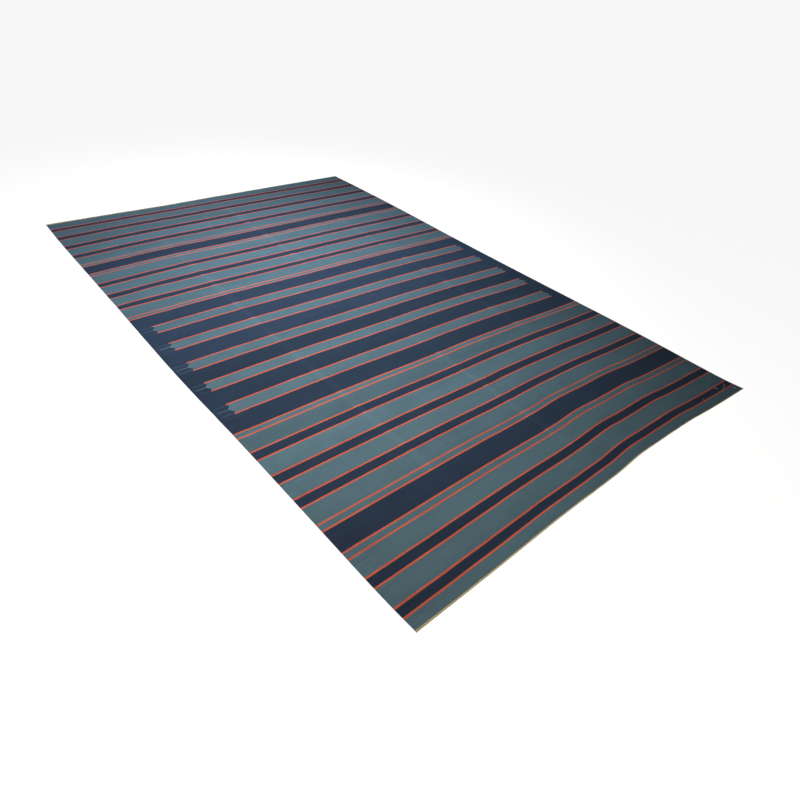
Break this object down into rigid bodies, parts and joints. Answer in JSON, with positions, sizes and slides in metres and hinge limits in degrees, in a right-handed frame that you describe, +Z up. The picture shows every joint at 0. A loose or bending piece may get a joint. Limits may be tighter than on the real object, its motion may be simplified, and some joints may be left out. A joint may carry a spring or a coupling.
{
  "type": "dhurrie rug",
  "caption": "Flat-woven striped cotton dhurrie rug lying open, with bowed ends, soft fold ridges and a twisted cord bound along each end.",
  "frame": {"origin": "on the floor, under the middle of the rug's outline", "axes": "+X across the rug, +Y along its length towards the far end, +Z up"},
  "size_m": [2.3473, 3.6126, 0.0104],
  "materials": {
    "indigo_cotton": "matte flat weave",
    "undyed_cotton": "matte twisted cord"
  },
  "bodies": {
    "root": {"woven_cloth": "indigo_cotton", "end_cord_near": "undyed_cotton", "end_cord_far": "undyed_cotton"}
  },
  "joints": []
}
